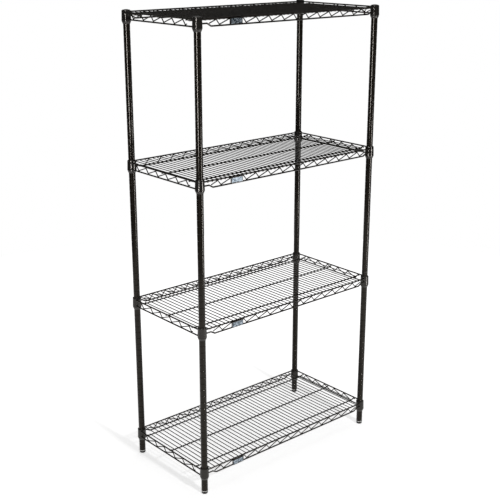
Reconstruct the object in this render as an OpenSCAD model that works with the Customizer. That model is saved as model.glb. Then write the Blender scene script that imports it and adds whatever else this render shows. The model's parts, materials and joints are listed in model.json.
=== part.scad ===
// Wire shelving rack: four grooved posts, four wire shelves on split tapered sleeves, levelling feet.
// Millimetres, +Z up, +X along the long side, -Y to the front. The origin is the middle of the
// rack's footprint, on the floor.

/* [Rack] */
// Distance between post axes along the long side
span_x = 878; // [860:1:900]
// Distance between post axes from front to back
span_y = 420.6; // [400:0.2:460]
// Height of the bottom shelf's collar tops above the floor
first_shelf_z = 110; // [100:1:111]
// Notches from the bottom shelf up to the second one
second_shelf_notch = 23; // [12:1:33]
// Notches from the bottom shelf up to the third one
third_shelf_notch = 45; // [36:1:56]
// Notches from the bottom shelf up to the top one
top_shelf_notch = 67; // [58:1:67]

/* [Posts] */
// Outer radius of a post
post_r = 12.7; // [12.5:0.05:12.9]
// Wall of a post's tube
post_wall = 1.2; // [1:0.05:1.5]
// Length of a post's tube
post_len = 1800; // [1799:0.5:1804]
// Distance from one groove to the next
notch_pitch = 25.4; // [25:0.1:25.4]
// Depth of a groove
groove_depth = 0.6; // [0.4:0.1:0.7]
// Width of a groove at the post's surface
groove_w = 3.2; // [2.8:0.1:4]

/* [Shelves] */
// Radius of the top and bottom wires around a shelf
rim_wire_r = 2.9; // [2.6:0.1:3.1]
// Radius of the zigzag wire between them
snake_wire_r = 2; // [1.6:0.1:2.1]
// Radius of the wires that goods stand on
deck_wire_r = 1.8; // [1.5:0.05:1.9]
// Radius of the three long support wires under them
support_wire_r = 2.6; // [2.4:0.1:2.8]
// Number of deck wires
deck_wires = 44; // [40:2:44]
// Distance from one deck wire to the next
deck_pitch = 20; // [18:0.1:20]
// Distance from one long support wire to the next
support_pitch = 163; // [150:1:166]
// Distance from the top wire down to the bottom wire
truss_h = 25; // [24:0.5:26]
// Distance of the side wires outward from the line of the post axes
rim_out = 12; // [11.5:0.5:12.5]
// Zigzag pitch on the long sides
long_pitch = 60; // [56:1:62]
// Zigzag pitch on the short sides
short_pitch = 61.5; // [56:0.5:62]
// Run of the zigzag's steep leg along the side
steep_run = 14; // [12:1:18]
// Rise of the bottom wire's ends on the long sides
joggle = 10; // [8:0.5:11]

/* [Collars and sleeves] */
// Height of a corner collar
collar_h = 38; // [36:0.5:39]
// Outer radius of a collar at its foot
collar_r = 18; // [17.8:0.1:18.4]
// Radius of a collar's cone at its top
cone_top_r = 14.6; // [14.5:0.1:14.8]
// Radius of a collar's cone at its foot
cone_foot_r = 16.2; // [16:0.1:16.3]
// Gap between a sleeve and its collar
cone_gap = 0.2; // [0.15:0.05:0.3]
// Length of the sleeve that shows under its collar
sleeve_tail = 10; // [8:1:11]
// Gap between the two halves of a sleeve
sleeve_split = 1.2; // [0.8:0.2:2]

/* [Label plates] */
// Width of a label plate
badge_w = 54; // [50:1:60]
// Height of a label plate
badge_h = 22; // [20:0.5:23]
// Distance of a plate's middle from the front left post axis
badge_x = 155.5; // [150:0.5:200]
// Distance of a plate's face from the fronts of the wires
badge_depth = 5; // [4:0.5:7]

/* [Feet] */
// Height of a foot's plastic glide
glide_h = 8; // [7:0.1:10]
// Radius of a glide
glide_r = 12.4; // [12:0.1:12.6]
// Radius of the screw
stud_r = 4.7; // [4.6:0.05:4.8]
// Length of the screw above the glide
stud_len = 40; // [38:1:44]

/* [Hidden] */
CORNERS = ["fl", "fr", "bl", "br"];
SHELVES = [1, 2, 3, 4];

$fn = 48;
part_gap = 0.3;                       // between parts that move on each other
weld = 0.4;                           // how far welded wires sink into each other

// feet, from the floor up
hex_h = 2;
flange_h = 2;
hex_z = glide_h + part_gap;
flange_z = hex_z + hex_h + part_gap;
post_z = flange_z + flange_h;
bore_clearance = 0.06;
plug_r = post_r - post_wall - 0.05;

// heights within a shelf, from the collar tops
bead_z = -20;
top_wire_z = -6.2;
bottom_wire_z = top_wire_z - truss_h;
deck_z = top_wire_z - rim_wire_r - deck_wire_r + weld;
support_z = deck_z - deck_wire_r - support_wire_r + weld;
support_end_z = top_wire_z - rim_wire_r - support_wire_r + weld;

// plan of a shelf
rim_x = span_x / 2 + rim_out;
rim_y = span_y / 2 + rim_out;
wire_end = 13.7;                      // where a side wire ends, from the post axis
joggle_in = 32;                       // where the joggle starts and ends, from the post axis
joggle_out = 50;
snake_start = 42;                     // where a zigzag's free end is, from the post axis
badge_back = rim_wire_r + 0.05;       // from the wires' axes to the backs of the label plates
bend_r = 4;
bend_lap = 0.3;                       // along the wire
bend_bulge = 0.06;

// corners as signs of X and Y
function sx(c) = (c == "fl" || c == "bl") ? -1 : 1;
function sy(c) = (c == "fl" || c == "fr") ? -1 : 1;
shelf_notches = [0, second_shelf_notch, third_shelf_notch, top_shelf_notch];
function shelf_z(s) = first_shelf_z + shelf_notches[s - 1] * notch_pitch;

module at_corner(c) translate([sx(c) * span_x / 2, sy(c) * span_y / 2, 0]) children();
module at_shelf(s) translate([0, 0, shelf_z(s)]) children();
module black() color([0.07, 0.07, 0.07]) children();
module zinc() color([0.78, 0.78, 0.76]) children();

// ---- wires ----

// a straight round wire from a to b
module wire(a, b, r) {
    d = b - a;
    translate(a)
        rotate([0, acos(d[2] / norm(d)), atan2(d[1], d[0])])
            cylinder(r = r, h = norm(d));
}

// a bent round wire in the XZ plane through points [x, z], with the bends rounded to bend_r;
// each bend is a hair thicker than the wire and laps over the straight stretches it joins
module bent_wire(points, r) {
    last = len(points) - 1;
    function dir(i) = (points[i + 1] - points[i]) / norm(points[i + 1] - points[i]);
    function turn(i) = let (a = dir(i - 1), b = dir(i)) atan2(a[0] * b[1] - a[1] * b[0], a * b);
    function cut(i) = (i == 0 || i == last) ? 0 : bend_r * tan(abs(turn(i)) / 2) - bend_lap / 2;
    for (i = [0 : last - 1]) {
        a = points[i] + cut(i) * dir(i);
        b = points[i + 1] - cut(i + 1) * dir(i);
        wire([a[0], 0, a[1]], [b[0], 0, b[1]], r);
    }
    for (i = [1 : last - 1]) {
        side = sign(turn(i));
        before = dir(i - 1);
        start = points[i] - bend_r * tan(abs(turn(i)) / 2) * before;
        centre = start + side * bend_r * [-before[1], before[0]];
        lap = bend_lap / bend_r * 180 / PI;
        sweep = abs(turn(i)) + 2 * lap;
        first = atan2(before[1], before[0]) - side * 90 - (side > 0 ? lap : sweep - lap);
        translate([centre[0], 0, centre[1]])
            rotate([90, 0, 0])
                rotate([0, 0, first])
                    rotate_extrude(angle = sweep)
                        translate([bend_r, 0])
                            circle(r = r + bend_bulge);
    }
}

// zigzag points from one free end to the other: a steep leg down, then a long leg up
function snake(half, pitch, legs, low, high) =
    let (reach = half - snake_start,
         slope = (high - low) / (pitch - steep_run),
         first = -(legs - 1) / 2 * pitch - steep_run / 2,
         last = (legs - 1) / 2 * pitch + steep_run / 2)
    concat(
        [[-reach, high - slope * (first + reach)]],
        [for (i = [0 : legs - 1], end = [0, 1])
            [first + i * pitch + end * steep_run, end == 0 ? high : low]],
        [[reach, low + slope * (reach - last)]]
    );

// one side of a shelf in the XZ plane, centred on X = 0, with its outside towards -Y
module truss(half, pitch, legs, step) {
    rise = truss_h - 2 * (rim_wire_r + snake_wire_r - weld);
    steep = atan2(rise, steep_run);
    slant = atan2(rise, pitch - steep_run);
    // a rounded bend falls this far short of the corner it rounds
    short = bend_r * (cos((steep - slant) / 2) / cos((steep + slant) / 2) - 1);
    low = bottom_wire_z + (truss_h - rise) / 2 - short;
    high = top_wire_z - (truss_h - rise) / 2 + short;
    end = half - wire_end;
    wire([-end, 0, top_wire_z], [end, 0, top_wire_z], rim_wire_r);
    bent_wire(snake(half, pitch, legs, low, high), snake_wire_r);
    if (step > 0)
        bent_wire([
            [-end, bottom_wire_z + step], [joggle_in - half, bottom_wire_z + step],
            [joggle_out - half, bottom_wire_z], [half - joggle_out, bottom_wire_z],
            [half - joggle_in, bottom_wire_z + step], [end, bottom_wire_z + step]
        ], rim_wire_r);
    else
        wire([-end, 0, bottom_wire_z], [end, 0, bottom_wire_z], rim_wire_r);
}

module long_truss() truss(span_x / 2, long_pitch, 13, joggle);
module short_truss() truss(span_y / 2, short_pitch, 6, 0);

module front_truss(s) black() at_shelf(s) translate([0, -rim_y, 0]) long_truss();
module back_truss(s) black() at_shelf(s) translate([0, rim_y, 0]) rotate([0, 0, 180]) long_truss();
module left_truss(s) black() at_shelf(s) translate([-rim_x, 0, 0]) rotate([0, 0, -90]) short_truss();
module right_truss(s) black() at_shelf(s) translate([rim_x, 0, 0]) rotate([0, 0, 90]) short_truss();

// the mat of deck wires, welded under the top wires of the long sides and on top of three long
// supports; the outermost wires stop at the outer supports
module deck(s) {
    end_y = rim_y - 1.2;
    end_x = rim_x - 0.6;
    step_in = rim_x - 17;
    step_out = rim_x - 9;
    black() at_shelf(s) {
        for (i = [0 : deck_wires - 1]) {
            x = (i - (deck_wires - 1) / 2) * deck_pitch;
            end = (i == 0 || i == deck_wires - 1) ? support_pitch + support_wire_r : end_y;
            wire([x, -end, deck_z], [x, end, deck_z], deck_wire_r);
        }
        // the supports step up at their ends, to meet the top wires of the short sides
        for (y = [-support_pitch, 0, support_pitch])
            translate([0, y, 0])
                bent_wire([
                    [-end_x, support_end_z], [-step_out, support_end_z],
                    [-step_in, support_z], [step_in, support_z],
                    [step_out, support_end_z], [end_x, support_end_z]
                ], support_wire_r);
    }
}

// ---- corners ----

module collar() {
    chamfer = 0.7;
    top_r = collar_r - 1.2;
    rotate_extrude()
        polygon([
            [cone_top_r, 0], [top_r - chamfer, 0], [top_r, -chamfer],
            [collar_r, -collar_h + chamfer], [collar_r - chamfer, -collar_h],
            [cone_foot_r, -collar_h]
        ]);
}
module collars(s) black() at_shelf(s) for (c = CORNERS) at_corner(c) collar();

// half of a split sleeve, on the +Y side of a post
module half_sleeve() {
    taper = (cone_foot_r - cone_top_r) / collar_h;
    rise = 1.8;
    lip = 2;
    bore_r = post_r + 0.15;
    bead_r = post_r - groove_depth + 0.2;
    top_r = cone_top_r - cone_gap - taper * rise;
    foot_r = cone_foot_r - cone_gap;
    intersection() {
        rotate_extrude()
            polygon([
                [bore_r, rise], [top_r - 0.4, rise], [top_r, rise - 0.4],
                [foot_r, -collar_h], [foot_r + 0.9, -collar_h - part_gap - 0.5],
                [foot_r + 0.9, -collar_h - lip], [post_r + 1, -collar_h - sleeve_tail],
                [bore_r, -collar_h - sleeve_tail],
                [bore_r, bead_z - 1.2], [bead_r, bead_z - 0.6],
                [bead_r, bead_z + 0.6], [bore_r, bead_z + 1.2]
            ]);
        translate([-collar_r, sleeve_split / 2, -collar_h - sleeve_tail - 1])
            cube([2 * collar_r, collar_r, collar_h + sleeve_tail + rise + 2]);
    }
}
module split_sleeves(s) {
    color([0.05, 0.05, 0.05]) at_shelf(s)
        for (c = CORNERS, side = [0, 180]) at_corner(c) rotate([0, 0, side]) half_sleeve();
}

// ---- posts and feet ----

module post(c) {
    first = ceil((post_z + groove_w - first_shelf_z - bead_z) / notch_pitch);
    last = floor((post_z + post_len - groove_w - first_shelf_z - bead_z) / notch_pitch);
    black() at_corner(c) rotate_extrude()
        polygon(concat(
            [[post_r - post_wall, post_z], [post_r, post_z]],
            [for (i = [first : last], p = [[0, -0.5], [1, -0.2], [1, 0.2], [0, 0.5]])
                [post_r - p[0] * groove_depth,
                 first_shelf_z + bead_z + i * notch_pitch + p[1] * groove_w]],
            [[post_r, post_z + post_len], [post_r - post_wall, post_z + post_len]]
        ));
}

// a low domed cap with a hollow plug in the tube
module post_cap(c) {
    rim = 0.8;
    dome = 2.2;
    plug = 14;
    dome_r = (post_r * post_r + dome * dome) / (2 * dome);
    sweep = asin(post_r / dome_r);
    color([0.05, 0.05, 0.05]) at_corner(c) translate([0, 0, post_z + post_len])
        rotate_extrude()
            polygon(concat(
                [[0, 0], [plug_r - 2, 0], [plug_r - 2, -plug], [plug_r - 0.4, -plug],
                 [plug_r, -plug + 2], [plug_r, 0], [post_r, 0], [post_r, rim]],
                [for (i = [1 : 12]) let (a = sweep * (1 - i / 12))
                    [dome_r * sin(a), rim + dome - dome_r * (1 - cos(a))]]
            ));
}

// the threaded insert pressed into a post's foot
module foot_insert(c) {
    barrel = 22;
    zinc() at_corner(c) translate([0, 0, flange_z])
        rotate_extrude()
            polygon([
                [stud_r + bore_clearance, 0], [post_r, 0], [post_r + 0.4, 0.4],
                [post_r + 0.4, flange_h], [plug_r, flange_h], [plug_r, barrel - 1],
                [plug_r - 1, barrel], [stud_r + bore_clearance, barrel]
            ]);
}

// the foot's screw: a round head held in the glide, a hexagon for a spanner, and the shank
module foot_stud(c) {
    head_r = 7;
    head_z = 2.6;
    head_h = 2.4;
    hex_r = 11;
    zinc() at_corner(c) {
        translate([0, 0, head_z]) cylinder(r = head_r, h = head_h);
        translate([0, 0, head_z]) cylinder(r = stud_r, h = hex_z + stud_len - head_z - 1);
        translate([0, 0, hex_z]) cylinder(r = hex_r, h = hex_h, $fn = 6);
        translate([0, 0, hex_z + stud_len - 1]) cylinder(r1 = stud_r, r2 = stud_r - 1, h = 1);
    }
}

// the plastic glide, which swivels on the screw's head
module foot_glide(c) {
    pocket_z = 2.3;
    pocket_h = 3;
    pocket_r = 7.3;
    neck_r = stud_r + part_gap;
    sole_r = 9.4;
    edge = glide_r - sole_r;
    color([0.04, 0.04, 0.04]) at_corner(c)
        rotate_extrude()
            polygon(concat(
                [[0, 0]],
                [for (a = [-90 : 15 : 0]) [sole_r + edge * cos(a), edge + edge * sin(a)]],
                [[glide_r, glide_h - 0.8], [glide_r - 0.8, glide_h], [neck_r, glide_h],
                 [neck_r, pocket_z + pocket_h], [pocket_r, pocket_z + pocket_h],
                 [pocket_r, pocket_z], [0, pocket_z]]
            ));
}

// ---- label plates ----

// places things on the fronts of the wires, with +Z towards the front
module at_badge(s) {
    at_shelf(s)
        translate([badge_x - span_x / 2, -rim_y - badge_back, top_wire_z - truss_h / 2])
            rotate([90, 0, 0])
                children();
}

// a shallow tray clipped over the top and bottom wires of a front truss, with its floor to the front
module label_plate(s) {
    plate_t = 1.4;
    wall = 1.6;
    corner_r = 3;
    border = 0.5;
    clip_t = 1.1;
    clip_w = 8;
    color([0.05, 0.05, 0.05]) at_badge(s) {
        linear_extrude(badge_depth - plate_t)
            difference() {
                rounded_plate(badge_w, badge_h, corner_r);
                rounded_plate(badge_w - 2 * wall, badge_h - 2 * wall, corner_r - wall);
            }
        translate([0, 0, badge_depth - plate_t])
            linear_extrude(plate_t)
                rounded_plate(badge_w, badge_h, corner_r);
        translate([0, 0, badge_depth])
            linear_extrude(border)
                difference() {
                    rounded_plate(badge_w, badge_h, corner_r);
                    rounded_plate(badge_w - 4, badge_h - 4, corner_r - 2);
                }
        for (x = [-16.5, 20], up = [1, -1])
            translate([x - clip_w / 2, up * truss_h / 2, -badge_back])
                rotate([90, 0, 90])
                    linear_extrude(clip_w)
                        difference() {
                            circle(r = badge_back + clip_t);
                            circle(r = badge_back);
                            translate([up * 5, 0]) square([10, 20], center = true);
                            translate([-up * 5, -badge_back - 1.4]) square([10, 5], center = true);
                        }
    }
}

// the blank label inside a plate's border
module label_face(s) {
    face_t = 0.3;
    color([0.5, 0.55, 0.6]) at_badge(s)
        translate([0, 0, badge_depth])
            linear_extrude(face_t)
                rounded_plate(badge_w - 4.4, badge_h - 4.4, 0.8);
}

module rounded_plate(w, h, r) {
    square([w - 2 * r, h], center = true);
    square([w, h - 2 * r], center = true);
    for (x = [-1, 1], y = [-1, 1]) translate([x * (w / 2 - r), y * (h / 2 - r)]) circle(r = r);
}

for (c = CORNERS) {
    post(c);
    post_cap(c);
    foot_insert(c);
    foot_stud(c);
    foot_glide(c);
}
for (s = SHELVES) {
    split_sleeves(s);
    collars(s);
    deck(s);
    front_truss(s);
    back_truss(s);
    left_truss(s);
    right_truss(s);
    label_plate(s);
    label_face(s);
}
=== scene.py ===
"""Looks of a black wire shelving rack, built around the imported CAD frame.

Metres, +Z up, +X along the long side, -Y to the front, origin on the floor.
"""
import math
import random

import bmesh
import bpy
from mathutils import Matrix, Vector
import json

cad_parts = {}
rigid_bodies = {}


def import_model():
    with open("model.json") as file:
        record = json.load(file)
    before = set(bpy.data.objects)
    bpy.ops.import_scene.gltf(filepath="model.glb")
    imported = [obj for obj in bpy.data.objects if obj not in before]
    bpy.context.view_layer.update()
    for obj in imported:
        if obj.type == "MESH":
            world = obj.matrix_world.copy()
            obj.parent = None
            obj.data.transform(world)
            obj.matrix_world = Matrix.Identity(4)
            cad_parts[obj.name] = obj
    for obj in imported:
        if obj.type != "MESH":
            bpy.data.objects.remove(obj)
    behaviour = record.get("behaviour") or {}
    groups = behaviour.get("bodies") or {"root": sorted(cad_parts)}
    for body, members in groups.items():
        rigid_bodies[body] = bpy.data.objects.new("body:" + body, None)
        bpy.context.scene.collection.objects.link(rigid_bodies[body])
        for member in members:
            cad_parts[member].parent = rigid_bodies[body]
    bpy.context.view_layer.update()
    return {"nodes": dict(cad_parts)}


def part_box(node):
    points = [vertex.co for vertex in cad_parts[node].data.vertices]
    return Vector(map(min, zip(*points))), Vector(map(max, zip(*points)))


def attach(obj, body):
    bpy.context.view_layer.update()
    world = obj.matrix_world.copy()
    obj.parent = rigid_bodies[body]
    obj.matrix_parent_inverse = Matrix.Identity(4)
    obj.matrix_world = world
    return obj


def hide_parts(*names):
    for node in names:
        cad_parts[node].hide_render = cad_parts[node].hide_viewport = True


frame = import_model()


def centre(node):
    """Middle of a CAD node's box at rest."""
    low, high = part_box(node)
    return (low + high) / 2


SHELVES = (1, 2, 3, 4)                     # from the lowest up
POST_AXES = {corner: centre(f"post_{corner}") for corner in ("fl", "fr", "bl", "br")}
RIM_X = centre("right_truss_1").x          # the short sides' wires, from the middle
RIM_Y = centre("back_truss_1").y           # the long sides' wires, from the middle

# Wires of a shelf.
RIM_WIRE_R = 0.0029
DECK_WIRE_R = 0.0018
WELD_SINK = 0.0004                         # how far one wire is sunk into another at a weld
DECK_WIRES, DECK_PITCH = 44, 0.020
SUPPORT_Y = (-0.163, 0, 0.163)
LONG_ZIGZAG, SHORT_ZIGZAG = (13, 0.060), (6, 0.0615)   # steep legs, and the pitch between them
STEEP_RUN = 0.014                          # how far a steep leg runs along its side

# Levelling screw, 16 threads to the inch.
SCREW_PITCH = 0.0254 / 16
SHANK_R, THREAD_ROOT_R, TIP_R = 0.0047, 0.0040, 0.0035
HEAD_R, HEAD_H, HEAD_BEVEL = 0.0070, 0.0024, 0.0003
HEX_CORNER_R, HEX_BEVEL_R, HEX_BEVEL_H = 0.0110, 0.0098, 0.0005
HEX_START, HEX_H = 0.0057, 0.0020          # above the screw's foot

# Camera, at the photograph's viewing angle.
CAMERA_PLACE = (-2.496, -2.852, 2.074)
CAMERA_YAW, CAMERA_PITCH = math.radians(40.93), math.radians(-17.88)
CAMERA_LENS = 70.4                         # in mm, on a 36 mm sensor

FLOOR_RADIUS = 3.0


# ---- materials ----

class Graph:
    """A short way to build a material's nodes around one Principled shader."""

    def __init__(self, name):
        self.material = bpy.data.materials.new(name)
        self.material.use_nodes = True
        self.tree = self.material.node_tree
        self.shader = self.tree.nodes["Principled BSDF"]
        self.place = self.add("ShaderNodeTexCoord").outputs["Object"]

    def add(self, kind, **settings):
        node = self.tree.nodes.new(kind)
        for key, value in settings.items():
            setattr(node, key, value)
        return node

    def join(self, start, end):
        self.tree.links.new(start, end)

    def noise(self, scale, detail=3.0, stretch=(1, 1, 1)):
        """Noise with about `scale` features to the metre, `stretch` times that along an axis."""
        mapping = self.add("ShaderNodeMapping")
        mapping.inputs["Scale"].default_value = stretch
        self.join(self.place, mapping.inputs["Vector"])
        texture = self.add("ShaderNodeTexNoise")
        texture.inputs["Scale"].default_value = scale
        texture.inputs["Detail"].default_value = detail
        texture.inputs["Roughness"].default_value = 0.55
        self.join(mapping.outputs["Vector"], texture.inputs["Vector"])
        return texture.outputs["Fac"]

    def cells(self, scale):
        """Distance to the nearest of about `scale` points to the metre."""
        texture = self.add("ShaderNodeTexVoronoi")
        texture.inputs["Scale"].default_value = scale
        self.join(self.place, texture.inputs["Vector"])
        return texture.outputs["Distance"]

    def ramp(self, value, stops):
        """A colour or grey for each value; stops are (position, colour or grey) pairs."""
        node = self.add("ShaderNodeValToRGB")
        points = node.color_ramp.elements
        while len(points) < len(stops):
            points.new(0.5)
        for point, (position, colour) in zip(points, stops):
            point.position = position
            point.color = (*colour, 1) if isinstance(colour, tuple) else (colour,) * 3 + (1,)
        self.join(value, node.inputs["Fac"])
        return node.outputs["Color"]

    def scaled(self, value, low, high, start=0.3, end=0.7):
        """value from start to end becomes low to high."""
        node = self.add("ShaderNodeMapRange")
        node.inputs["From Min"].default_value = start
        node.inputs["From Max"].default_value = end
        node.inputs["To Min"].default_value = low
        node.inputs["To Max"].default_value = high
        self.join(value, node.inputs["Value"])
        return node.outputs["Result"]

    def mixed(self, first, second, share):
        """first turns into second as share goes from 0 to 1."""
        node = self.add("ShaderNodeMix", data_type="RGBA")
        self.join(share, node.inputs["Factor"])
        self.join(first, node.inputs["A"])
        self.join(second, node.inputs["B"])
        return node.outputs["Result"]

    def bump(self, heights):
        """Stacks (height, strength, depth) bumps on the shader's normal."""
        normal = None
        for height, strength, depth in heights:
            node = self.add("ShaderNodeBump")
            node.inputs["Strength"].default_value = strength
            node.inputs["Distance"].default_value = depth
            self.join(height, node.inputs["Height"])
            if normal is not None:
                self.join(normal, node.inputs["Normal"])
            normal = node.outputs["Normal"]
        self.join(normal, self.shader.inputs["Normal"])

    def set(self, **inputs):
        """Constants or sockets for the shader's inputs; underscores stand for spaces."""
        for key, value in inputs.items():
            socket = self.shader.inputs[key.replace("_", " ")]
            if isinstance(value, bpy.types.NodeSocket):
                self.join(value, socket)
            else:
                socket.default_value = value


def black_epoxy():
    """Baked epoxy powder on steel wire and tube: orange peel, fine dust specks, uneven gloss."""
    g = Graph("black_epoxy")
    cloud = g.noise(14, detail=2)
    peel = g.noise(620, detail=2)
    dust = g.cells(300)
    tone = g.ramp(cloud, [(0.3, (0.0040, 0.0032, 0.0024)), (0.7, (0.0070, 0.0057, 0.0043))])
    speck = g.ramp(dust, [(0.0, 1.0), (0.07, 0.0)])
    worn = g.ramp(peel, [(0.45, (0.0060, 0.0054, 0.0048)), (0.75, (0.014, 0.0125, 0.011))])
    g.set(
        Base_Color=g.mixed(tone, worn, speck),
        Roughness=g.scaled(g.noise(45, detail=2), 0.125, 0.145),
        Specular_IOR_Level=0.20,
        Specular_Tint=(1.0, 0.94, 0.86, 1),
    )
    g.bump([(peel, 0.05, 0.00010), (g.noise(160, detail=1), 0.05, 0.00012)])
    return g.material


def cast_epoxy():
    """The same epoxy on the cast corner collars: a harder gloss over a coarse casting skin."""
    g = Graph("cast_epoxy")
    skin = g.noise(380, detail=3)
    tone = g.ramp(skin, [(0.35, (0.0050, 0.0046, 0.0042)), (0.7, (0.013, 0.012, 0.011))])
    g.set(
        Base_Color=tone,
        Roughness=g.scaled(g.noise(60, detail=2), 0.15, 0.19),
        Specular_IOR_Level=0.36,
        Specular_Tint=(1.0, 0.95, 0.89, 1),
    )
    g.bump([(skin, 0.08, 0.00010)])
    return g.material


def black_plastic():
    """Moulded plastic of the sleeves, caps and glides: satin, with a fine spark-eroded grain."""
    g = Graph("black_plastic")
    grain = g.noise(2600, detail=2)
    tone = g.ramp(g.noise(40), [(0.3, (0.0045, 0.0042, 0.0040)), (0.7, (0.0080, 0.0075, 0.0070))])
    g.set(
        Base_Color=tone,
        Roughness=g.scaled(g.noise(90, detail=3), 0.26, 0.34),
        Specular_IOR_Level=0.5,
        Specular_Tint=(1.0, 0.95, 0.9, 1),
    )
    g.bump([(grain, 0.2, 0.00006)])
    return g.material


def zinc_plate():
    """Bright zinc on the levelling screws and inserts: turned marks, dull patches."""
    g = Graph("zinc")
    patch = g.noise(220, detail=4)
    turning = g.noise(900, detail=1, stretch=(0.15, 0.15, 3.0))
    tone = g.ramp(patch, [(0.35, (0.56, 0.56, 0.54)), (0.65, (0.80, 0.80, 0.78))])
    g.set(
        Base_Color=tone,
        Metallic=1.0,
        Roughness=g.scaled(patch, 0.20, 0.42),
    )
    g.bump([(turning, 0.2, 0.0001)])
    return g.material


def label_metal():
    """Blank label: glossy blue-grey foil with cloudy toning and a fine pebble."""
    g = Graph("label_face")
    cloud = g.noise(170, detail=2)
    pebble = g.noise(900, detail=1)
    g.set(
        Base_Color=g.ramp(cloud, [(0.40, (0.018, 0.034, 0.048)), (0.62, (0.46, 0.53, 0.60))]),
        Metallic=0.6,
        Roughness=g.scaled(cloud, 0.20, 0.34),
    )
    g.bump([(pebble, 0.15, 0.0001)])
    return g.material


def floor_white():
    """Matte white sweep with a painted glow: weaker close to the rack, where the rack's shadows
    show on it, and stronger further out, where the glow washes shadows out to an even white.
    """
    g = Graph("floor_white")
    distance = g.add("ShaderNodeVectorMath", operation="LENGTH")
    g.join(g.place, distance.inputs[0])
    g.set(
        Base_Color=(0.9, 0.9, 0.9, 1),
        Roughness=0.9,
        Specular_IOR_Level=0.1,
        # Painted light: the floor glows, at 0.69 within 0.55 m of the middle and rising to 0.90
        # past 0.95 m, which hides the rack's shadows further out.
        Emission_Color=(1, 1, 1, 1),
        Emission_Strength=g.scaled(distance.outputs["Value"], 0.69, 0.90, start=0.55, end=0.95),
    )
    g.bump([(g.noise(300, detail=2), 0.05, 0.0002)])
    return g.material


def dress_nodes(materials):
    """Gives each CAD node its material by the start of its name; wires and posts are epoxy."""
    finish = {
        "post_cap": "black_plastic",
        "split_sleeves": "black_plastic",
        "foot_glide": "black_plastic",
        "label_plate": "black_plastic",
        "foot_insert": "zinc",
        "foot_stud": "zinc",
        "label_face": "label_face",
        "collars": "cast_epoxy",
    }
    for name, node in frame["nodes"].items():
        kind = next((k for k in finish if name.startswith(k)), None)
        material = materials[finish.get(kind, "black_epoxy")]
        node.data.materials.clear()
        node.data.materials.append(material)


# ---- detail pieces ----

def add_piece(name, bm, material, body):
    """Turns a bmesh into an object that moves with a body."""
    mesh = bpy.data.meshes.new(name)
    bmesh.ops.recalc_face_normals(bm, faces=bm.faces)
    bm.to_mesh(mesh)
    bm.free()
    mesh.shade_smooth()
    mesh.set_sharp_from_angle(angle=math.radians(35))
    mesh.materials.append(material)
    piece = bpy.data.objects.new(name, mesh)
    bpy.context.scene.collection.objects.link(piece)
    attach(piece, body)
    return piece


def stud_rows(foot, tip):
    """(height, radius function of the angle) pairs up a levelling screw, from foot to tip."""
    flat = HEX_CORNER_R * math.cos(math.pi / 6)
    sixth = math.pi / 3

    def plain(radius):
        return lambda angle: radius

    def hexagon(limit):
        def radius(angle):
            from_flat = (angle + sixth / 2) % sixth - sixth / 2
            return min(limit, flat / math.cos(from_flat))
        return radius

    def thread(z):
        def radius(angle):
            phase = (z / SCREW_PITCH - angle / (2 * math.pi)) % 1.0
            depth = min(1.0, 2.4 * abs(phase - 0.5))
            return THREAD_ROOT_R + (SHANK_R - THREAD_ROOT_R) * depth
        return radius

    head_top = foot + HEAD_H
    hex_low = foot + HEX_START
    hex_high = hex_low + HEX_H
    bevelled_head = plain(HEAD_R - HEAD_BEVEL)
    rows = [
        (foot, bevelled_head),
        (foot + HEAD_BEVEL, plain(HEAD_R)),
        (head_top - HEAD_BEVEL, plain(HEAD_R)),
        (head_top, bevelled_head),
        (head_top, plain(SHANK_R)),
        (hex_low, plain(SHANK_R)),
        (hex_low, hexagon(HEX_BEVEL_R)),
        (hex_low + HEX_BEVEL_H, hexagon(HEX_CORNER_R)),
        (hex_high - HEX_BEVEL_H, hexagon(HEX_CORNER_R)),
        (hex_high, hexagon(HEX_BEVEL_R)),
        (hex_high, plain(THREAD_ROOT_R)),
        (hex_high + 0.0009, plain(THREAD_ROOT_R)),
    ]
    z = hex_high + 0.0010
    while z < tip - 0.0010:
        rows.append((z, thread(z)))
        z += SCREW_PITCH / 6
    rows += [(tip - 0.0009, plain(THREAD_ROOT_R)), (tip, plain(TIP_R))]
    return rows


def build_studs(zinc):
    """Threaded screws with chamfered hexagons, in place of the plain CAD ones."""
    columns = 36
    angles = [2 * math.pi * i / columns for i in range(columns)]
    for corner, axis in POST_AXES.items():
        low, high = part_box(f"foot_stud_{corner}")
        bm = bmesh.new()
        rings = []
        for z, radius in stud_rows(low.z, high.z):
            rings.append([
                bm.verts.new((
                    axis.x + radius(angle) * math.cos(angle),
                    axis.y + radius(angle) * math.sin(angle),
                    z,
                ))
                for angle in angles
            ])
        for lower, upper in zip(rings, rings[1:]):
            for i in range(columns):
                j = (i + 1) % columns
                bm.faces.new((lower[i], lower[j], upper[j], upper[i]))
        bm.faces.new(rings[0][::-1])
        bm.faces.new(rings[-1])
        piece = add_piece(f"levelling_screw_{corner}", bm, zinc, f"stud_{corner}")
        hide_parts(f"foot_stud_{corner}")


def add_bead(bm, place, size):
    """A low weld bead: an ellipsoid of half sizes `size`, its outline uneven by 12 percent."""
    around = 8
    swell = [1 + random.uniform(-0.12, 0.12) for _ in range(around)]
    top = bm.verts.new((place[0], place[1], place[2] + size[2]))
    bottom = bm.verts.new((place[0], place[1], place[2] - size[2]))
    rings = []
    for level in (0.55, -0.55):
        ring = []
        for i in range(around):
            angle = 2 * math.pi * i / around
            reach = swell[i] * math.sqrt(1 - level * level)
            ring.append(bm.verts.new((
                place[0] + size[0] * reach * math.cos(angle),
                place[1] + size[1] * reach * math.sin(angle),
                place[2] + size[2] * level,
            )))
        rings.append(ring)
    upper, lower = rings
    for i in range(around):
        j = (i + 1) % around
        bm.faces.new((top, upper[i], upper[j]))
        bm.faces.new((upper[i], lower[i], lower[j], upper[j]))
        bm.faces.new((bottom, lower[j], lower[i]))


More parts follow.
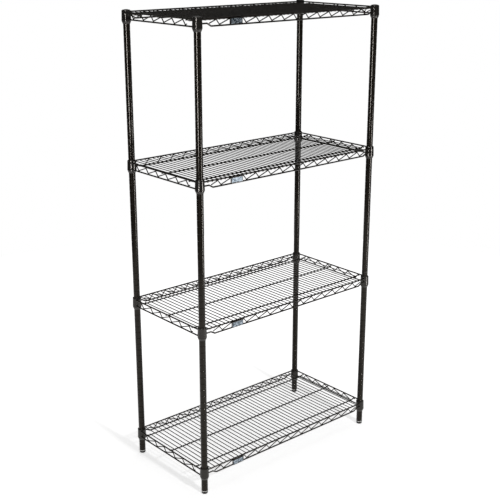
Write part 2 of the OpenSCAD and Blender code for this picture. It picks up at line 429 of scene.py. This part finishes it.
def add_zigzag_beads(bm, zigzag, rim, along_x, under_top, over_bottom):
    """Beads at the zigzag's bends, under the top wires and on the bottom wires of two sides."""
    legs, pitch = zigzag
    for i in range(legs):
        middle = (i - (legs - 1) / 2) * pitch
        for run, z in ((middle - STEEP_RUN / 2, under_top), (middle + STEEP_RUN / 2, over_bottom)):
            for side in (-1, 1):
                if along_x:
                    add_bead(bm, (-side * run, side * rim, z), (0.0036, 0.0017, 0.0008))
                else:
                    add_bead(bm, (side * rim, side * run, z), (0.0017, 0.0036, 0.0008))


def build_welds(epoxy):
    """Weld beads where the wires of each shelf cross or meet."""
    random.seed(7)
    deck_x = [(i - (DECK_WIRES - 1) / 2) * DECK_PITCH for i in range(DECK_WIRES)]
    for shelf in SHELVES:
        low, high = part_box(f"right_truss_{shelf}")
        under_top = high.z - 2 * RIM_WIRE_R
        over_bottom = low.z + 2 * RIM_WIRE_R
        deck_bottom = under_top + WELD_SINK - 2 * DECK_WIRE_R
        on_supports = deck_bottom + WELD_SINK / 2
        bm = bmesh.new()
        for x in deck_x[1:-1]:
            for side in (-1, 1):
                place = (x, side * (RIM_Y - 0.0004), under_top)   # just inside the rim
                add_bead(bm, place, (0.0023, 0.0020, 0.0009))
        for x in deck_x:
            for y in SUPPORT_Y:
                add_bead(bm, (x, y, on_supports), (0.0024, 0.0030, 0.0009))
        add_zigzag_beads(bm, LONG_ZIGZAG, RIM_Y, True, under_top, over_bottom)
        add_zigzag_beads(bm, SHORT_ZIGZAG, RIM_X, False, under_top, over_bottom)
        add_piece(f"weld_beads_{shelf}", bm, epoxy, f"shelf_{shelf}")


# ---- studio ----

def build_floor():
    """A round white floor, not part of the object."""
    mesh = bpy.data.meshes.new("floor")
    bm = bmesh.new()
    bmesh.ops.create_circle(bm, cap_ends=True, radius=FLOOR_RADIUS, segments=96)
    bm.to_mesh(mesh)
    bm.free()
    floor = bpy.data.objects.new("floor", mesh)
    bpy.context.scene.collection.objects.link(floor)
    floor.data.materials.append(floor_white())
    return floor


def area_light(name, place, target, size, radiance, receivers=None):
    """A panel of (width, height) aimed at target, lighting everything or only receivers."""
    light = bpy.data.lights.new(name, "AREA")
    light.shape = "RECTANGLE"
    light.size, light.size_y = size
    light.energy = radiance * math.pi * size[0] * size[1]
    lamp = bpy.data.objects.new(name, light)
    lamp.location = place
    lamp.rotation_euler = (Vector(target) - Vector(place)).to_track_quat("-Z", "Y").to_euler()
    lamp.visible_camera = False
    bpy.context.scene.collection.objects.link(lamp)
    if receivers is not None:
        lamp.light_linking.receiver_collection = receivers


def build_lights(floor):
    """Top light and front key on everything, streaks on the rack, and a card for the labels."""
    rack, labels = (bpy.data.collections.new(name) for name in ("rack", "labels"))
    for piece in bpy.context.scene.objects:
        if piece.type == "MESH" and piece != floor:
            (labels if piece.name.startswith("label_face") else rack).objects.link(piece)
    area_light("top", (0, 0, 4.2), (0, 0, 0), (3.0, 3.0), 1.2)
    area_light("key", (-0.35, -6.5, 4.9), (0, 0, 0.2), (0.42, 0.42), 340.0)
    area_light("strip_left", (-3.05, -1.65, 1.2), (-0.44, -0.2, 1.2), (0.42, 1.0), 72.0, rack)
    area_light("strip_right", (0.95, -2.4, 0.5), (-0.44, -0.2, 0.5), (0.35, 0.95), 38.0, rack)
    area_light("label_card", (2.3, -3.2, 0.27), (-0.3, -0.23, 1.24), (1.0, 0.6), 6.0, labels)


def build_world():
    """White to the camera, and a dim studio with a pale back wall to everything else."""
    world = bpy.data.worlds.new("studio")
    bpy.context.scene.world = world
    world.use_nodes = True
    nodes, links = world.node_tree.nodes, world.node_tree.links
    background = nodes["Background"]
    direction = nodes.new("ShaderNodeTexCoord").outputs["Generated"]
    towards_back = nodes.new("ShaderNodeVectorMath")
    towards_back.operation = "DOT_PRODUCT"
    towards_back.inputs[1].default_value = (0.65, 0.76, 0.0)
    links.new(direction, towards_back.inputs[0])
    wall = nodes.new("ShaderNodeMapRange")
    wall.inputs["From Min"].default_value = 0.2
    wall.inputs["From Max"].default_value = 0.9
    wall.inputs["To Min"].default_value = 0.025
    wall.inputs["To Max"].default_value = 0.30
    links.new(towards_back.outputs["Value"], wall.inputs["Value"])
    links.new(wall.outputs["Result"], background.inputs["Strength"])
    background.inputs["Color"].default_value = (1.0, 0.99, 0.98, 1)
    seen = nodes.new("ShaderNodeBackground")
    seen.inputs["Color"].default_value = (1, 1, 1, 1)
    path = nodes.new("ShaderNodeLightPath")
    choice = nodes.new("ShaderNodeMixShader")
    links.new(path.outputs["Is Camera Ray"], choice.inputs[0])
    links.new(background.outputs[0], choice.inputs[1])
    links.new(seen.outputs[0], choice.inputs[2])
    links.new(choice.outputs[0], nodes["World Output"].inputs["Surface"])


def build_camera():
    """The camera, without shift or depth of field."""
    data = bpy.data.cameras.new("camera")
    data.sensor_width = 36
    data.lens = CAMERA_LENS
    camera = bpy.data.objects.new("camera", data)
    camera.location = CAMERA_PLACE
    level = math.cos(CAMERA_PITCH)
    forward = Vector((
        math.sin(CAMERA_YAW) * level,
        math.cos(CAMERA_YAW) * level,
        math.sin(CAMERA_PITCH),
    ))
    camera.rotation_euler = forward.to_track_quat("-Z", "Y").to_euler()
    bpy.context.scene.collection.objects.link(camera)
    bpy.context.scene.camera = camera


materials = {
    "black_epoxy": black_epoxy(),
    "cast_epoxy": cast_epoxy(),
    "black_plastic": black_plastic(),
    "zinc": zinc_plate(),
    "label_face": label_metal(),
}
dress_nodes(materials)
build_studs(materials["zinc"])
build_welds(materials["black_epoxy"])
build_lights(build_floor())
build_world()
build_camera()
bpy.context.scene.view_settings.view_transform = "Standard"
